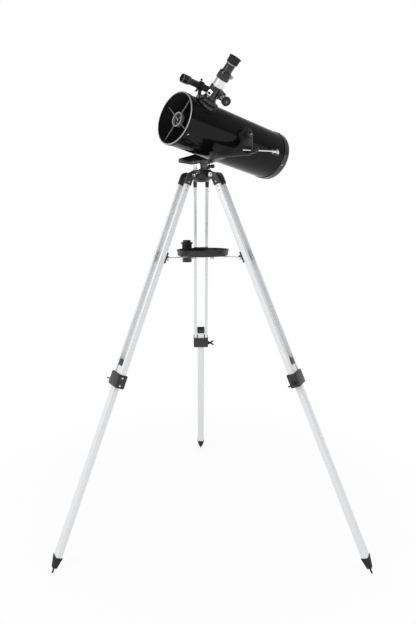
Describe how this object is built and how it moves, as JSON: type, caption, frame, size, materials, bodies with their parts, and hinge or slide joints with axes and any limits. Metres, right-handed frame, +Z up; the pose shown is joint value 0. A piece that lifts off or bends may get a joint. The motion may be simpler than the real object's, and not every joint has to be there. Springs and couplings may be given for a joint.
{
  "type": "telescope",
  "caption": "Newtonian reflector telescope in a fork mount with a slow-motion rod, on an aluminium field tripod with a tray",
  "frame": {"origin": "on the ground, at the centre of the overall outline", "axes": "+X to the right seen from between the two front legs, +Y away from there towards the rear leg, +Z up"},
  "size_m": [0.9068, 0.7902, 1.5049],
  "materials": {
    "anodised_aluminium": "satin",
    "black_plastic": "matte",
    "black_rubber": "matte",
    "brushed_steel": "satin",
    "chrome": "polished",
    "gloss_black_paint": "gloss",
    "mirror_coating": "polished",
    "satin_black_casting": "satin",
    "silver_paint": "satin"
  },
  "bodies": {
    "fork_body": {"fork": "satin_black_casting"},
    "tube_body": {"tube": "gloss_black_paint", "front_ring": "silver_paint", "spider": "silver_paint", "secondary_holder": "black_plastic", "secondary_mirror": "mirror_coating", "rear_cell": "gloss_black_paint", "primary_mirror": "mirror_coating", "focuser_housing": "black_plastic", "finder_bracket": "black_plastic", "finder_tube": "black_plastic", "rod_bracket": "chrome"},
    "drawtube_body": {"drawtube": "chrome", "eyepiece_holder": "black_plastic", "eyepiece": "black_plastic", "eyecup": "black_rubber"},
    "focus_drive_body": {"focus_shaft": "brushed_steel", "focus_knob_near": "black_plastic", "focus_knob_far": "black_plastic"},
    "eyepiece_screw_body": {"eyepiece_screw": "chrome"},
    "slow_rod_body": {"slow_rod": "chrome"},
    "rod_clamp_body": {"rod_clamp": "black_plastic"},
    "rod_knob_body": {"rod_knob": "black_plastic"},
    "altitude_knob_near_body": {"altitude_knob_near": "black_plastic"},
    "altitude_knob_far_body": {"altitude_knob_far": "black_plastic"},
    "azimuth_knob_body": {"azimuth_knob": "black_plastic"},
    "lower_leg_1_body": {"leg_1_lower": "anodised_aluminium", "leg_1_foot": "black_plastic"},
    "clamp_screw_1_body": {"leg_1_clamp_screw": "black_plastic"},
    "lower_leg_2_body": {"leg_2_lower": "anodised_aluminium", "leg_2_foot": "black_plastic"},
    "clamp_screw_2_body": {"leg_2_clamp_screw": "black_plastic"},
    "lower_leg_3_body": {"leg_3_lower": "anodised_aluminium", "leg_3_foot": "black_plastic"},
    "clamp_screw_3_body": {"leg_3_clamp_screw": "black_plastic"},
    "tripod_body": {"azimuth_base": "satin_black_casting", "hub": "satin_black_casting", "leg_1_bracket": "satin_black_casting", "leg_1_cap_left": "black_plastic", "leg_1_cap_right": "black_plastic", "leg_1_clamp": "black_plastic", "leg_1_rail_left": "anodised_aluminium", "leg_1_rail_right": "anodised_aluminium", "leg_2_bracket": "satin_black_casting", "leg_2_cap_left": "black_plastic", "leg_2_cap_right": "black_plastic", "leg_2_clamp": "black_plastic", "leg_2_rail_left": "anodised_aluminium", "leg_2_rail_right": "anodised_aluminium", "leg_3_bracket": "satin_black_casting", "leg_3_cap_left": "black_plastic", "leg_3_cap_right": "black_plastic", "leg_3_clamp": "black_plastic", "leg_3_rail_left": "anodised_aluminium", "leg_3_rail_right": "anodised_aluminium", "spare_eyepiece": "black_plastic", "tray": "black_plastic", "tray_arm_1": "brushed_steel", "tray_arm_2": "brushed_steel", "tray_arm_3": "brushed_steel"}
  },
  "joints": [
    {"name": "leg_1_extension", "type": "slide", "parent": "tripod_body", "child": "lower_leg_1_body", "axis": [0.3269, 0.1888, 0.926], "range_m": [0, 0.45]},
    {"name": "leg_1_clamp_turn", "type": "hinge", "parent": "tripod_body", "child": "clamp_screw_1_body", "pos_m": [-0.28899, -0.25359, 0.50406], "axis": [-0.5, 0.866, 0], "range_deg": [0, 270]},
    {"name": "leg_2_extension", "type": "slide", "parent": "tripod_body", "child": "lower_leg_2_body", "axis": [-0.3269, 0.1888, 0.926], "range_m": [0, 0.45]},
    {"name": "leg_2_clamp_turn", "type": "hinge", "parent": "tripod_body", "child": "clamp_screw_2_body", "pos_m": [0.25399, -0.31421, 0.50406], "axis": [-0.5, -0.866, 0], "range_deg": [0, 270]},
    {"name": "leg_3_extension", "type": "slide", "parent": "tripod_body", "child": "lower_leg_3_body", "axis": [0, -0.3775, 0.926], "range_m": [0, 0.45]},
    {"name": "leg_3_clamp_turn", "type": "hinge", "parent": "tripod_body", "child": "clamp_screw_3_body", "pos_m": [0.035, 0.18635, 0.50406], "axis": [1, 0, 0], "range_deg": [0, 270]},
    {"name": "azimuth", "type": "hinge", "parent": "tripod_body", "child": "fork_body", "pos_m": [0, -0.12715, 1.1767], "axis": [0, 0, 1], "continuous": true},
    {"name": "azimuth_knob_turn", "type": "hinge", "parent": "tripod_body", "child": "azimuth_knob_body", "pos_m": [0.03383, -0.13946, 1.16755], "axis": [0.9397, -0.342, 0], "range_deg": [0, 270]},
    {"name": "altitude", "type": "hinge", "parent": "fork_body", "child": "tube_body", "pos_m": [0.08909, -0.05879, 1.2695], "axis": [-0.6088, 0.7934, 0], "range_deg": [-6, 45]},
    {"name": "altitude_knob_near_turn", "type": "hinge", "parent": "fork_body", "child": "altitude_knob_near_body", "pos_m": [0.15606, -0.14605, 1.2695], "axis": [0.6088, -0.7934, 0], "range_deg": [0, 270]},
    {"name": "altitude_knob_far_turn", "type": "hinge", "parent": "fork_body", "child": "altitude_knob_far_body", "pos_m": [0.02213, 0.02848, 1.2695], "axis": [-0.6088, 0.7934, 0], "range_deg": [0, 270]},
    {"name": "rod_swivel", "type": "hinge", "parent": "fork_body", "child": "rod_clamp_body", "pos_m": [0.16612, -0.14274, 1.2185], "axis": [-0.6088, 0.7934, 0], "range_deg": [-8, 58]},
    {"name": "rod_knob_turn", "type": "hinge", "parent": "rod_clamp_body", "child": "rod_knob_body", "pos_m": [0.17617, -0.15583, 1.2185], "axis": [0.6088, -0.7934, 0], "range_deg": [0, 270]},
    {"name": "rod_eyelet", "type": "hinge", "parent": "tube_body", "child": "slow_rod_body", "pos_m": [0.25949, -0.0711, 1.22173], "axis": [-0.6088, 0.7934, 0], "range_deg": [-2, 13]},
    {"name": "focus", "type": "slide", "parent": "tube_body", "child": "drawtube_body", "axis": [0.5228, -0.409, 0.7479], "range_m": [-0.02, 0.018]},
    {"name": "focus_turn", "type": "hinge", "parent": "tube_body", "child": "focus_drive_body", "pos_m": [0.06075, -0.18424, 1.39185], "axis": [-0.356, 0.6924, 0.6276], "range_deg": [-200, 200]},
    {"name": "eyepiece_screw_turn", "type": "hinge", "parent": "drawtube_body", "child": "eyepiece_screw_body", "pos_m": [0, 0, 0.028], "axis": [0, 0, 1], "range_deg": [0, 270]}
  ],
  "couplings": [
    {"joint": "rod_swivel", "follows": "altitude", "ratio": 1.26},
    {"joint": "rod_eyelet", "follows": "altitude", "ratio": 0.26},
    {"joint": "focus_turn", "follows": "focus", "rad_per_m": 166.67}
  ]
}
